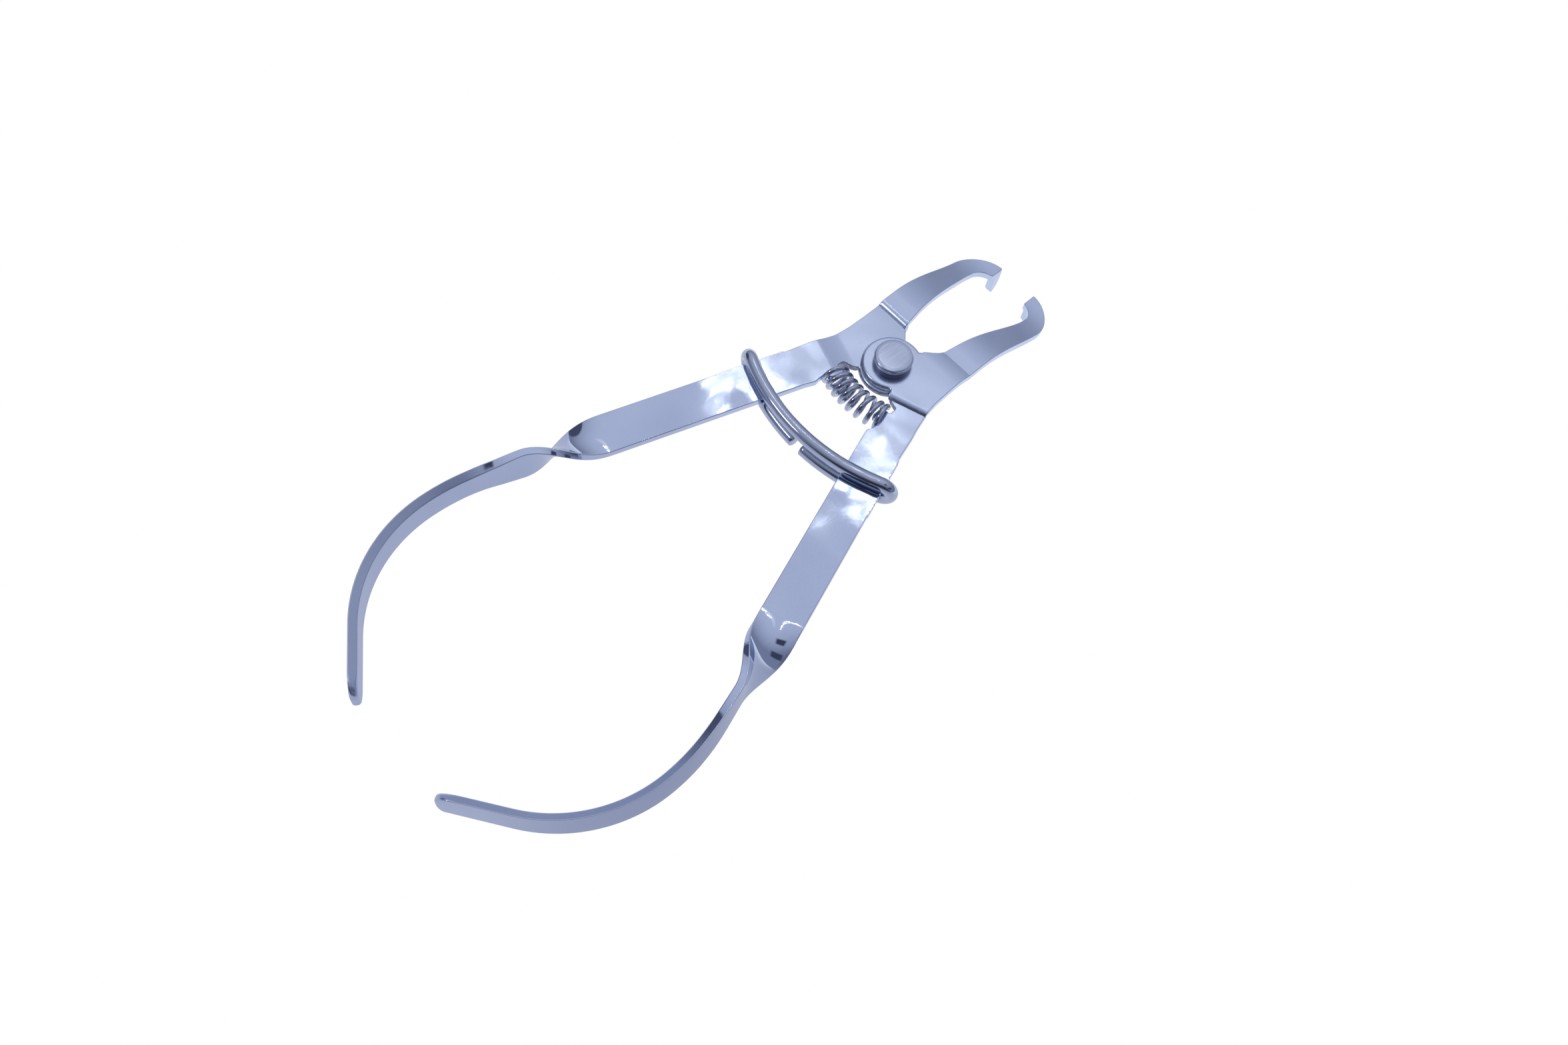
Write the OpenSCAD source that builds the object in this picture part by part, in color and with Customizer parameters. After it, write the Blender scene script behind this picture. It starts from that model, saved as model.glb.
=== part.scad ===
// Ring forceps of the flat-bar kind: two stamped steel arms on one rivet, a return
// spring between the arms and a sliding wire ring that locks them.
// +X runs along the middle of the tool towards the jaws, +Y towards the left arm and
// +Z along the rivet towards its head. The origin is the centre of the rivet's tail face.

/* [Stock] */
// Thickness of the steel strip both arms are stamped from
stock_t = 1.7; // [1.5:0.1:2.0]
// Width of the straight part of each arm
bar_w = 9.3; // [8.5:0.1:10]

/* [Handles] */
// Angle between each straight bar and the middle line
bar_angle = 18.9; // [17:0.1:21]
// Distance from the rivet's axis to the middle of the bar
bar_offset = 7; // [6.6:0.1:7.4]
// Distance along the bar at which the quarter twist starts
twist_start = 62; // [55:1:66]
// Length of the quarter twist
twist_len = 18; // [14:1:20]
// Straight stretch between the twist and the palm curve
grip_lead = 6; // [4:1:10]
// Radius of the first, wide palm curve
palm_r = 45; // [40:1:55]
// Radius of the second, tight palm curve
heel_r = 31; // [28:1:36]
// Angle through which the tight palm curve turns
heel_sweep = 55; // [45:1:58]
// Straight end of the grip
grip_tail = 14; // [10:1:16]
// Height that the grip gains towards its end
handle_rise = 2.6; // [0:0.2:4]
// Radius of the grip's rounded end corners
grip_corner_r = 3.8; // [2:0.1:4.2]

/* [Jaws] */
// Distance from the middle line to the jaw's straight outer edge
jaw_edge_y = 13; // [12.5:0.1:13.5]
// Outer radius of the hook at the jaw's end
hook_r = 8.5; // [8:0.1:8.8]
// Distance from the rivet's axis to the front of the jaws
jaw_reach = 43.2; // [40:0.1:46]
// Distance from the middle line to the face of each prong, with the ring locked
prong_y = 4.9; // [4:0.1:5.5]
// Height that the jaw drops from the bars to its tip
jaw_drop = 9.3; // [6:0.1:11]
// Length of each prong below the top of the jaw
prong_len = 7.6; // [6:0.1:9]

/* [Rivet] */
// Radius of the lapped ears round the rivet
ear_r = 6.6; // [6.2:0.1:6.8]
// Radius of the rivet's shank
shank_r = 2; // [1.5:0.1:2.5]
// Radius of the rivet's head and of the washer under it
head_r = 4.2; // [3.6:0.1:4.6]
// Thickness of the rivet's head
head_h = 1.4; // [1.2:0.1:2]
// Thickness of the washer under the head
washer_h = 1.25; // [0.8:0.05:1.5]
// Radius of the flattened tail of the rivet
tail_r = 3.3; // [2.8:0.1:3.8]
// Thickness of the flattened tail
tail_h = 0.85; // [0.6:0.05:1.2]
// Radial clearance of the shank in the ears, and the gap between sliding faces
running_gap = 0.03; // [0.02:0.01:0.08]

/* [Spring] */
// Outer diameter of the return spring
spring_od = 6.3; // [6.2:0.1:7]
// Diameter of the spring's wire
wire_d = 1.1; // [0.9:0.1:1.2]
// Number of turns
spring_turns = 8; // [7:1:9]
// Distance from the rivet's axis back to the spring's axis
spring_back = 10.5; // [10.4:0.1:11]
// Distance from the middle line to the seat that each end of the spring presses on
seat_y = 7.9; // [7.7:0.1:8.1]

/* [Lock ring] */
// Diameter of the ring's rod
rod_d = 3; // [2.6:0.1:3.2]
// Distance from the rivet's axis back to the middle of the ring
ring_back = 27; // [26:0.5:30]
// Radius of the ring's bow
bow_r = 46; // [42:1:50]
// Half of the bow's angle, up to where the ring folds round the bars
bow_half_angle = 24.8; // [24.6:0.1:25.2]
// Height of the rod's middle above and below the middle of the bars
rod_lift = 2.55; // [2.5:0.05:3]
// Gap between the two cut ends underneath
ring_gap = 2.4; // [1:0.1:4]

/* [Ring teeth] */
// Distance between the scalloped teeth on the outer edge of each bar
tooth_pitch = 0.9; // [0.8:0.01:1.1]
// Number of grooves between the teeth of each bar
tooth_count = 16; // [8:1:17]
// Distance along the bar at which the grooves start
tooth_start = 21; // [20:0.5:24]
// Radius of each groove
scallop_r = 0.24; // [0.15:0.01:0.3]

/* [Hidden] */
$fn = 64;

half_t = stock_t / 2;
half_w = bar_w / 2;
half_gap = running_gap / 2;
lap_z = tail_h + running_gap + stock_t + half_gap;

// The bar's outer and inner edges, in the bar's own directions
outer_n = -bar_offset - half_w;
inner_n = -bar_offset + half_w;

// Where the ear's level steps to the bar's level, and to the jaw's
bar_step = [6.8, 8.3];
jaw_step = [9, 10.4];

// Where the jaw's drop starts and ends
drop_from = 13.8;
drop_to = jaw_reach - 1.9;

// Narrow waist of the hook, the inner edge of the jaw, and the prong's width
hook_x = jaw_reach - hook_r;
prong_w = 3.6;
tongue_w = 3.2;
tongue_len = 2.3;
twist_steps = 24;
palm_steps = 8;
heel_steps = 16;
drop_steps = 22;
hook_steps = 12;
tall = 60;

// Points on an arc round c, from angle a0 to a1
function arc(c, r, a0, a1, n) =
    [for (i = [0:n]) let (a = a0 + (a1 - a0) * i / n) c + r * [cos(a), sin(a)]];

function reversed(points) = [for (i = [len(points) - 1:-1:0]) points[i]];

// A smooth ramp from 0 to 1 between a and b
function ramp(x, a, b) = let (u = min(max((x - a) / (b - a), 0), 1)) u * u * (3 - 2 * u);

// A point of the bar, given along and across the bar, in the arm's own frame
function from_bar(p) = let (a = 180 - bar_angle) [p.x * cos(a) - p.y * sin(a), p.x * sin(a) + p.y * cos(a)];

// Height of the jaw's middle surface at x
function jaw_z(x) = -jaw_drop * ramp(x, drop_from, drop_to);
function jaw_slope(x) = (jaw_z(x + 0.05) - jaw_z(x - 0.05)) / 0.1;

// A point above (side 1) or below (side -1) the jaw's middle surface
function jaw_face(x, side) =
    let (a = atan(jaw_slope(x))) [x - side * half_t * sin(a), jaw_z(x) + side * half_t * cos(a)];

// Plan of one arm from the ear to the tip of the jaw
module jaw_plan() {
    hook_c = [hook_x, jaw_edge_y - hook_r];
    polygon(concat(
        [[-1, 0], [-1, jaw_edge_y]],
        arc(hook_c, hook_r, 90, 3, hook_steps),
        [[jaw_reach - 0.1, prong_y], [jaw_reach - 3.4, prong_y], [jaw_reach - 3.7, 5.9]],
        arc([jaw_reach - 7.2, 4.7], 3.5, 25, 82, 8),
        [[34, 8.25], [31, 7.9], [10.6, 5.1], [9.6, 4.85], [8.7, 4.2], [7.4, 3], [6.1, 2.3], [5, 0]]
    ));
}

// Plan of one arm from the ear to the start of the twist, along the bar
module bar_plan() {
    a = 180 - bar_angle;
    seat = [[-5.1, 4.1], [-5.7, 5.1], [-6.1, 7.3], [-6.7, seat_y]];
    tongue_x = -spring_back + tongue_w / 2;
    tongue = [
        [tongue_x, seat_y], [tongue_x, seat_y - tongue_len + 0.5], [tongue_x - 0.5, seat_y - tongue_len],
        [tongue_x - tongue_w + 0.5, seat_y - tongue_len], [tongue_x - tongue_w, seat_y - tongue_len + 0.5],
        [tongue_x - tongue_w, seat_y]
    ];
    shoulder = [[-14.3, seat_y], [-14.8, 7.75]];
    inner = from_bar([17.6, inner_n]);
    polygon(concat(
        [[0, 0], [-4, 1]], seat, tongue, shoulder,
        [inner, from_bar([twist_start, inner_n]), from_bar([twist_start, outer_n])],
        [from_bar([6, outer_n]), [3, jaw_edge_y], [3, 0]]
    ));
}

// Side view of the bar's end of an arm. The ear is above (side 1) or below (side -1).
module bar_side(side) {
    ear_z = side * (half_t + half_gap);
    middle = [[-6, ear_z], [bar_step[0], ear_z], [bar_step[1], 0], [twist_start, 0]];
    polygon(concat([for (p = middle) p + [0, half_t]], reversed([for (p = middle) p - [0, half_t]])));
}

// Side view of the jaw's end of an arm
module jaw_side(side) {
    ear_z = side * (half_t + half_gap);
    flat = [[-2, ear_z], [jaw_step[0], ear_z], [jaw_step[1], 0], [drop_from - 0.4, 0]];
    last = jaw_reach + 2;
    xs = [for (i = [0:drop_steps]) drop_from + (last - drop_from) * i / drop_steps];
    top = concat([for (p = flat) p + [0, half_t]], [for (x = xs) jaw_face(x, 1)]);
    bottom = concat([for (p = flat) p - [0, half_t]], [for (x = xs) jaw_face(x, -1)]);
    polygon(concat(top, reversed(bottom)));
}

// Prong bent down from the end of the jaw, seen from the front
module prong_side() {
    right = jaw_reach;
    left = right - prong_w;
    top = -jaw_drop + half_t - 0.3;
    tip = -jaw_drop + half_t - prong_len;
    polygon(concat(
        [[left, top], [right - 0.1, top], [right, top - 2.2], [right - 0.15, tip + 2.6]],
        arc([right - 1.55, tip + 1.9], 1.5, 15, -60, 5),
        arc([left + 1.5, tip + 0.8], 0.8, 290, 190, 5),
        [[left + 0.45, tip + 1.2], [left + 0.05, tip + 1.6], [left, tip + 2.2]]
    ));
}

module jaw(side) {
    intersection() {
        translate([0, 0, -tall / 2]) linear_extrude(tall) jaw_plan();
        translate([0, tall / 2, 0]) rotate([90, 0, 0]) linear_extrude(tall) jaw_side(side);
    }
    translate([0, prong_y + stock_t, 0]) rotate([90, 0, 0]) linear_extrude(stock_t) prong_side();
}

module bar(side) {
    difference() {
        intersection() {
            translate([0, 0, -tall / 2]) linear_extrude(tall) bar_plan();
            rotate([0, 0, 180 - bar_angle]) translate([0, tall / 2, 0]) rotate([90, 0, 0])
                linear_extrude(tall) bar_side(side);
        }
        rotate([0, 0, 180 - bar_angle]) ring_scallops();
    }
}

// Row of grooves that the lock ring clicks into
module ring_scallops() {
    for (i = [0:tooth_count - 1])
        translate([tooth_start + i * tooth_pitch, outer_n - 0.04, -stock_t])
            cylinder(r = scallop_r, h = 2 * stock_t, $fn = 24);
}

// The twist starts and ends inside its neighbours, with its skin this far under theirs
skin = 0.02;
twist_lap = 1.2;

// Corners of the strip's cross-section after turning by a about the bar's middle.
// The inner edge turns upwards and the top face turns outwards.
function twist_ring(u, a) =
    [for (k = [[-1, -1], [1, -1], [1, 1], [-1, 1]])
        let (w = k[0] * (half_w - skin), h = k[1] * (half_t - skin))
        [u, -bar_offset + w * cos(a) - h * sin(a), w * sin(a) + h * cos(a)]];

// Closed skin over rings of m points each
function tube_faces(rings, m) = concat(
    [[for (j = [0:m - 1]) j]],
    [for (i = [0:rings - 2]) for (j = [0:m - 1]) let (k = (j + 1) % m)
        [i * m + j, (i + 1) * m + j, (i + 1) * m + k, i * m + k]],
    [[for (j = [m - 1:-1:0]) (rings - 1) * m + j]]
);

// Quarter twist between the flat bar and the upright grip
module twist() {
    rings = concat(
        [twist_ring(twist_start - twist_lap, 0)],
        [for (i = [0:twist_steps]) let (s = i / twist_steps)
            twist_ring(twist_start + twist_len * s, 90 * ramp(s, 0, 1))],
        [twist_ring(twist_start + twist_len + twist_lap, 90)]
    );
    polyhedron(points = [for (r = rings) each r], faces = tube_faces(len(rings), 4), convexity = 4);
}

// Middle line of the grip in the bar's directions: lead, palm curve, heel curve, tail
palm_c = [twist_start + twist_len + grip_lead, -bar_offset + palm_r];
heel_c = palm_c + (palm_r - heel_r) * [sin(bar_angle), -cos(bar_angle)];
heel_end = bar_angle + heel_sweep;
function grip_line(off) = concat(
    [[twist_start + twist_len, -bar_offset - off]],
    arc(palm_c, palm_r + off, -90, -90 + bar_angle, palm_steps),
    arc(heel_c, heel_r + off, -90 + bar_angle, -90 + heel_end, heel_steps),
    [heel_c + (heel_r + off) * [sin(heel_end), -cos(heel_end)] + grip_tail * [cos(heel_end), sin(heel_end)]]
);

// Side view of the grip, rising towards its rounded end
module grip_side() {
    turn_x = twist_start + twist_len - 2;
    end = from_bar(grip_line(0)[len(grip_line(0)) - 1]);
    end_x = -end.x;
    top = handle_rise + half_w;
    low = handle_rise - half_w;
    r = grip_corner_r;
    polygon(concat(
        [[40, -half_w], [turn_x, -half_w]],
        arc([end_x - r, low + r], r, -90, 0, 10),
        arc([end_x - r, top - r], r, 0, 90, 10),
        [[turn_x, half_w], [40, half_w]]
    ));
}

module grip() {
    intersection() {
        rotate([0, 0, 180 - bar_angle]) translate([0, 0, -tall / 2]) linear_extrude(tall)
            polygon(concat(grip_line(half_t), reversed(grip_line(-half_t))));
        translate([0, tall, 0]) rotate([0, 0, 180]) translate([0, 2 * tall, 0]) rotate([90, 0, 0])
            linear_extrude(2 * tall) grip_side();
    }
}

// One arm, with its ear above (side 1) or below (side -1) the other arm's ear
module arm(side) {
    difference() {
        union() {
            jaw(side);
            bar(side);
            translate([0, 0, side * (half_t + half_gap) - half_t]) cylinder(r = ear_r, h = stock_t);
            rotate([0, 0, 180 - bar_angle]) twist();
            grip();
        }
        translate([0, 0, -2 * stock_t]) cylinder(r = shank_r + running_gap, h = 4 * stock_t);
    }
}

module left_arm() {
    color("lightsteelblue") translate([0, 0, lap_z]) arm(-1);
}

module right_arm() {
    color("lightsteelblue") translate([0, 0, lap_z]) mirror([0, 1, 0]) arm(1);
}

// Stack of heights along the rivet
washer_z = lap_z + half_gap + stock_t + running_gap;
head_z = washer_z + washer_h;

module pivot_rivet() {
    round_r = 0.9;
    color("silver") {
        cylinder(r = tail_r, h = tail_h);
        cylinder(r = shank_r, h = head_z + 0.5);
        translate([0, 0, head_z]) rotate_extrude() polygon(concat(
            [[0, 0], [head_r, 0]],
            arc([head_r - round_r, head_h - round_r], round_r, 0, 90, 8),
            [[0, head_h]]
        ));
    }
}

module rivet_washer() {
    color("gray") difference() {
        translate([0, 0, washer_z]) cylinder(r = head_r - 0.05, h = washer_h);
        cylinder(r = shank_r + running_gap, h = 2 * head_z);
    }
}

// Helical wire between the two seats, with closed ends
module return_spring() {
    sides = 6;
    per_turn = 16;
    n = spring_turns * per_turn;
    mean_r = (spring_od - wire_d) / 2;
    end_y = seat_y - wire_d / 2 - 0.05;
    dead = 0.75;
    // Share of the length that is reached after s turns: the end turns lie almost closed
    pitch_end = wire_d * 1.04;
    pitch_mid = (2 * end_y - 2 * dead * pitch_end) / (spring_turns - 2 * dead);
    function along(s) = -end_y + (s < dead ? s * pitch_end
        : s > spring_turns - dead ? 2 * end_y - (spring_turns - s) * pitch_end
        : dead * pitch_end + (s - dead) * pitch_mid);
    rings = [for (i = [0:n]) let (s = i / per_turn, a = 360 * s + 90)
        [for (j = [0:sides - 1]) let (b = 360 * j / sides, r = mean_r + wire_d / 2 * cos(b))
            [-spring_back + r * sin(a), along(s) + wire_d / 2 * sin(b), lap_z + r * cos(a)]]];
    color("dimgray")
        polyhedron(points = [for (r = rings) each r], faces = tube_faces(n + 1, sides), convexity = 10);
}

// One round section of the ring's rod at p, square to the direction of travel. It is given
// by the bow's outward direction n and the section's second direction m.
function rod_section(p, n, m) =
    [for (j = [0:rod_sides - 1]) let (b = 360 * j / rod_sides) p + rod_d / 2 * (n * cos(b) + m * sin(b))];

// Section on the bow at angle a, at height z and with the second direction up (1) or down (-1)
function bow_section(a, z, up) =
    let (n = [cos(a), sin(a), 0]) rod_section([bow_r - ring_back, 0, z] + bow_r * n, n, [0, 0, up]);

// Section of the fold at the bow's end a, turned by b from below (up 1) or from above (up -1)
function fold_section(a, b, up) =
    let (n = [cos(a), sin(a), 0], t = up * [-sin(a), cos(a), 0], z = [0, 0, up])
    rod_section([bow_r - ring_back, 0, 0] + bow_r * n + rod_lift * (t * sin(b) - z * cos(b)), n,
        z * cos(b) - t * sin(b));

rod_sides = 16;
fold_steps = 12;
bow_steps = 12;

// Rod bent once round both bars, with its two cut ends facing each other underneath
module lock_ring() {
    cut = asin((ring_gap / 2) / bow_r);
    lo = 180 - bow_half_angle;
    hi = 180 + bow_half_angle;
    half = bow_steps / 2;
    rings = concat(
        [for (i = [0:half]) bow_section(180 + cut + (hi - 180 - cut) * i / half, -rod_lift, 1)],
        [for (i = [1:fold_steps - 1]) fold_section(hi, 180 * i / fold_steps, 1)],
        [for (i = [0:bow_steps]) bow_section(hi + (lo - hi) * i / bow_steps, rod_lift, -1)],
        [for (i = [1:fold_steps - 1]) fold_section(lo, 180 * i / fold_steps, -1)],
        [for (i = [0:half]) bow_section(lo + (180 - cut - lo) * i / half, -rod_lift, 1)]
    );
    color("silver") translate([0, 0, lap_z])
        polyhedron(points = [for (r = rings) each r], faces = tube_faces(len(rings), rod_sides), convexity = 8);
}

left_arm();
right_arm();
pivot_rivet();
rivet_washer();
return_spring();
lock_ring();
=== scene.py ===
"""Looks of the stamped ring forceps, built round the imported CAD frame.

Lengths inside the builders are millimetres in the row frame; meshes are scaled to metres.
"""

import math

import bpy
import numpy as np
from mathutils import Matrix, Vector
from mathutils.geometry import delaunay_2d_cdt

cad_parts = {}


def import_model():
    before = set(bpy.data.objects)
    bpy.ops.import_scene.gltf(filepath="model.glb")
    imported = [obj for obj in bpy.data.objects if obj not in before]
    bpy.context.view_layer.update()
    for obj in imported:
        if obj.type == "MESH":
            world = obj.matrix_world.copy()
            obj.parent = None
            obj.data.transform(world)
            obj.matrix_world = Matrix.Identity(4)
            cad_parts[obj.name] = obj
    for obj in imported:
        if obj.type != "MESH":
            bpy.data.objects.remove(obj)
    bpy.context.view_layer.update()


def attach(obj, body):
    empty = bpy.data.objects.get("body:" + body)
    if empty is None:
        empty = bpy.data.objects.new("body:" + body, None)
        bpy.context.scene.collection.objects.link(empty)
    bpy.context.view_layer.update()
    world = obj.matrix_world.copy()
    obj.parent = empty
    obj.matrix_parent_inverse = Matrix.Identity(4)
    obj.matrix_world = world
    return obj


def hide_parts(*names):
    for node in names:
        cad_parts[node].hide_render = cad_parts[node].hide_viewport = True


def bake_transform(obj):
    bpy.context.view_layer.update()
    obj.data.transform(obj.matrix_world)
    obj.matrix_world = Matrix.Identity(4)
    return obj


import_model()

MM = 0.001
rad = math.radians

# ---------------------------------------------------------------- sizes, close to the CAD part
STOCK_T = 1.7
BAR_W = 9.3
BAR_ANGLE = 18.9
BAR_OFFSET = 7.0
TWIST_START = 62.0
TWIST_LEN = 18.0
GRIP_LEAD = 6.0
PALM_R = 45.0
HEEL_R = 31.0
HEEL_SWEEP = 55.0
GRIP_TAIL = 14.0
HANDLE_RISE = 2.6
EDGE_SLOPE = 1.25
LEAN = 0.07  # how far the grips lean in, mm per mm of height
GRIP_SHIFT = 0.4
CORNER_R = 3.8
JAW_REACH = 43.2
JAW_EDGE_Y = 13.0
HOOK_R = 8.5
PRONG_Y = 4.9
PRONG_LEN = 7.6
PRONG_W = 2.6
PRONG_PROUD = 0.05
JAW_DROP = 9.3
DROP_FROM = 13.8
DROP_TO = JAW_REACH - 1.9
EAR_R = 6.6
SHANK_R = 2.0
RUN_GAP = 0.03
TAIL_H = 0.85
TAIL_R = 3.3
HEAD_R = 4.2
HEAD_H = 1.4
WASHER_H = 1.25
SEAT_LEFT = 7.6
SEAT_RIGHT = 8.3
LOBE_LEFT = 7.05
SPRING_BACK = 10.5
TONGUE_W = 3.2
TONGUE_LEN = 2.2
SPRING_OD = 6.3
WIRE_D = 1.1
TURNS = 8
ROD_D = 3.0
RING_BACK = 27.0
BOW_R = 46.0
BOW_HALF = 24.8
ROD_LIFT = 2.45
RING_GAP = 2.4
TOOTH_R = 0.5
TOOTH_PITCH = 0.9
TOOTH_N = 16
TOOTH_START = 20.55
SLOPE_STEP = 0.02  # half the span over which the bent surface's slopes are taken

HALF_T = STOCK_T / 2
HALF_W = BAR_W / 2
HALF_GAP = RUN_GAP / 2
LAP_Z = TAIL_H + RUN_GAP + STOCK_T + HALF_GAP
WASHER_Z = LAP_Z + HALF_GAP + STOCK_T + RUN_GAP
HEAD_Z = WASHER_Z + WASHER_H
OUTER_N = -BAR_OFFSET - HALF_W
INNER_N = -BAR_OFFSET + HALF_W
BAR_A = rad(180 - BAR_ANGLE)
BAR_DIR = np.array([math.cos(BAR_A), math.sin(BAR_A)])
BAR_NORMAL = np.array([-math.sin(BAR_A), math.cos(BAR_A)])


def smooth(x, a, b):
    """A smooth ramp from 0 to 1 between a and b."""
    t = min(max((x - a) / (b - a), 0.0), 1.0)
    return t * t * (3 - 2 * t)


def crease(x, a, b):
    """A ramp from 0 to 1 between a and b that starts softly and stops in a faint crease."""
    t = min(max((x - a) / (b - a), 0.0), 1.0)
    return t * t * (1.35 - 0.35 * t)


def from_bar(u, v):
    return u * BAR_DIR + v * BAR_NORMAL


def to_bar(p):
    p = np.asarray(p, float)
    return p @ BAR_DIR, p @ BAR_NORMAL


def arc(c, r, a0, a1, n):
    a = np.radians(np.linspace(a0, a1, n + 1))
    return [np.array([c[0] + r * math.cos(t), c[1] + r * math.sin(t)]) for t in a]


# ---------------------------------------------------------------- the grip's middle line
PALM_C = np.array([TWIST_START + TWIST_LEN + GRIP_LEAD, -BAR_OFFSET + PALM_R])
HEEL_C = PALM_C + (PALM_R - HEEL_R) * np.array([math.sin(rad(BAR_ANGLE)), -math.cos(rad(BAR_ANGLE))])
PALM_LEN = PALM_R * rad(BAR_ANGLE)
HEEL_LEN = HEEL_R * rad(HEEL_SWEEP)
GRIP_START = TWIST_START + TWIST_LEN
STRIP_END = GRIP_START + GRIP_LEAD + PALM_LEN + HEEL_LEN + GRIP_TAIL


def grip_line(s):
    """Place and heading on the grip's middle line, s mm along it, in the bar's directions."""
    if s <= GRIP_LEAD:
        return np.array([GRIP_START + s, -BAR_OFFSET]), 0.0
    s -= GRIP_LEAD
    if s <= PALM_LEN:
        h = s / PALM_R
        return PALM_C + PALM_R * np.array([math.sin(h), -math.cos(h)]), h
    s -= PALM_LEN
    h0 = rad(BAR_ANGLE)
    if s <= HEEL_LEN:
        h = h0 + s / HEEL_R
        return HEEL_C + HEEL_R * np.array([math.sin(h), -math.cos(h)]), h
    s -= HEEL_LEN
    h = h0 + rad(HEEL_SWEEP)
    p = HEEL_C + HEEL_R * np.array([math.sin(h), -math.cos(h)])
    return p + s * np.array([math.cos(h), math.sin(h)]), h


END_POINT = grip_line(STRIP_END - GRIP_START)[0]
END_X = -from_bar(*END_POINT)[0]
RISE_FROM = GRIP_START - 2


def jaw_z(x):
    return -JAW_DROP * smooth(x, DROP_FROM, DROP_TO)


def level(x, y, side):
    """Height of the strip's middle surface in the flat part of an arm."""
    u = x * BAR_DIR[0] + y * BAR_DIR[1]
    if side > 0:
        step = (1 - crease(x, 6.6, 10.6)) * (1 - 0.88 * smooth(u, 6.9, 8.0) - 0.12 * smooth(u, 7.2, 12.0))
    else:
        step = (1 - smooth(x, 9.1, 10.3)) * (1 - crease(u, 7.0, 12.2))
    return side * (HALF_T + HALF_GAP) * step + jaw_z(x)


def place(x, y, w, side):
    """Maps a point of the unbent strip (x, y in plan, w through its thickness) to the bent arm."""
    u, v = to_bar((x, y))
    if u <= TWIST_START or x > -30:
        e = SLOPE_STEP
        gx = (level(x + e, y, side) - level(x - e, y, side)) / (2 * e)
        gy = (level(x, y + e, side) - level(x, y - e, side)) / (2 * e)
        n = np.array([-gx, -gy, 1.0])
        n /= np.linalg.norm(n)
        return np.array([x, y, float(level(x, y, side))]) + w * n
    s = u - TWIST_START
    a = rad(90) * float(smooth(s, 0, TWIST_LEN))
    vm = v + BAR_OFFSET
    across = vm * math.cos(a) - w * math.sin(a)
    up = vm * math.sin(a) + w * math.cos(a)
    on_grip = smooth(u, GRIP_START - 3, GRIP_START + 12)
    if on_grip > 0:
        # towards its inner wall each long edge of the grip slopes, and the grip leans in a little
        depth = min(max((HALF_T - w) / STOCK_T, 0.0), 1.0)
        room = min(max((abs(vm) - 1.5) / (HALF_W - 1.5), 0.0), 1.0)
        up -= math.copysign(EDGE_SLOPE * depth * room * on_grip, vm)
        across += (LEAN * up + GRIP_SHIFT) * on_grip
    if u <= GRIP_START:
        p = np.array([u, -BAR_OFFSET + across])
    else:
        c, h = grip_line(u - GRIP_START)
        p = c + across * np.array([-math.sin(h), math.cos(h)])
    q = from_bar(p[0], p[1])
    rise = HANDLE_RISE * max(0.0, min((-q[0] - RISE_FROM) / (END_X - CORNER_R - RISE_FROM), 1.05))
    return np.array([q[0], q[1], up + rise])


# ---------------------------------------------------------------- the unbent outline of one arm
def resample(points, step):
    """Spreads points along straight runs so that none is longer than step."""
    out = []
    n = len(points)
    for i in range(n):
        a, b = points[i], points[(i + 1) % n]
        k = max(1, int(math.ceil(np.linalg.norm(b - a) / step)))
        out += [a + (b - a) * j / k for j in range(k)]
    return out


def fillet(points, radii):
    """Rounds each corner of a closed outline by the given radius (0 keeps it)."""
    out = []
    n = len(points)
    for i in range(n):
        p, a, b = points[i], points[i - 1], points[(i + 1) % n]
        r = radii[i]
        da, db = a - p, b - p
        la, lb = np.linalg.norm(da), np.linalg.norm(db)
        if r <= 0 or la < 1e-6 or lb < 1e-6:
            out.append(p)
            continue
        da, db = da / la, db / lb
        ang = math.acos(float(np.clip(da @ db, -1, 1)))
        if ang > rad(176):
            out.append(p)
            continue
        t = min(r / math.tan(ang / 2), 0.45 * la, 0.45 * lb)
        r = t * math.tan(ang / 2)
        mid = (da + db) / np.linalg.norm(da + db)
        c = p + mid * (r / math.sin(ang / 2))
        s0, s1 = p + da * t - c, p + db * t - c
        a0, a1 = math.atan2(s0[1], s0[0]), math.atan2(s1[1], s1[0])
        d = (a1 - a0 + math.pi) % (2 * math.pi) - math.pi
        k = max(2, int(abs(d) / rad(9)))
        out += [c + r * np.array([math.cos(a0 + d * j / k), math.sin(a0 + d * j / k)])
                for j in range(k + 1)]
    return out


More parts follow.
